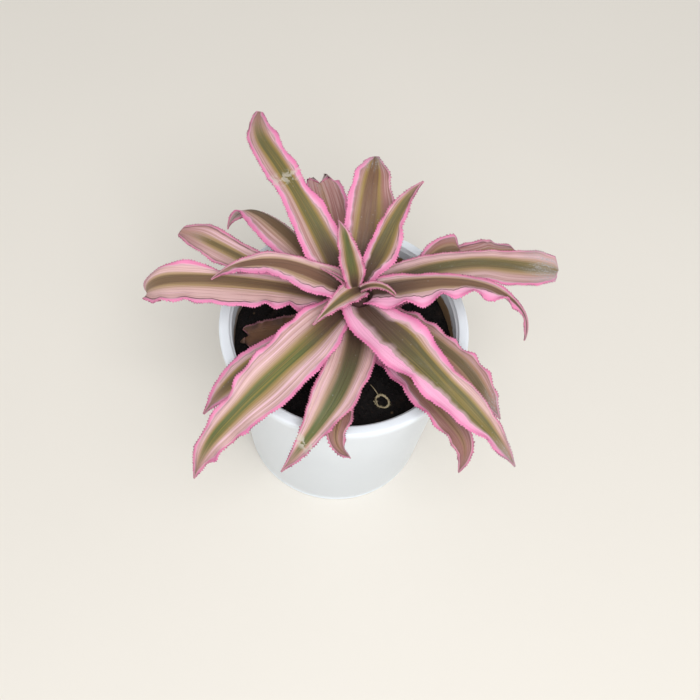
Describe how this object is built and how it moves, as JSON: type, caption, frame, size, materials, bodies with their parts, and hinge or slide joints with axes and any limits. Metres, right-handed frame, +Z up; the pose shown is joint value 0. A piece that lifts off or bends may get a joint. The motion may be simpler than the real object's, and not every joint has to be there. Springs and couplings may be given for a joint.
{
  "type": "potted earth star",
  "caption": "Pink earth star houseplant, a flat rosette of wavy striped leaves, planted in dark soil in a white tapered nursery pot.",
  "frame": {"origin": "centre of the pot's flat underside", "axes": "+Z up along the pot's axis; -Y towards the front, the side of the low hanging leaves; +X to the right seen from the front"},
  "size_m": [0.1776, 0.1583, 0.1538],
  "materials": {
    "pot": "satin",
    "soil": "matte",
    "stem": "matte",
    "leaf": "satin",
    "withered_leaf": "matte",
    "dried_curl": "matte"
  },
  "bodies": {
    "root": {"pot": "pot", "soil": "soil", "stem": "stem", "dried_curl": "dried_curl", "leaf_centre_curled": "leaf", "leaf_centre_left": "leaf", "leaf_centre_upright": "leaf", "leaf_back_right_upright": "leaf", "leaf_centre_thin": "leaf", "leaf_right_curved": "leaf", "leaf_left_arching": "leaf", "leaf_back_broad": "leaf", "leaf_front_right_long": "leaf", "leaf_front_left_long": "leaf", "leaf_back_left_long": "leaf", "leaf_left_broad": "leaf", "leaf_right_broad": "leaf", "leaf_front": "leaf", "leaf_back_short": "leaf", "leaf_left_high": "leaf", "leaf_right_short": "leaf", "leaf_front_right_low": "leaf", "leaf_back_left_folded": "leaf", "leaf_right_crinkled": "leaf", "leaf_front_left_low": "leaf", "leaf_front_right_hooked": "leaf", "leaf_front_low": "leaf", "leaf_left_withered": "withered_leaf"}
  },
  "joints": []
}
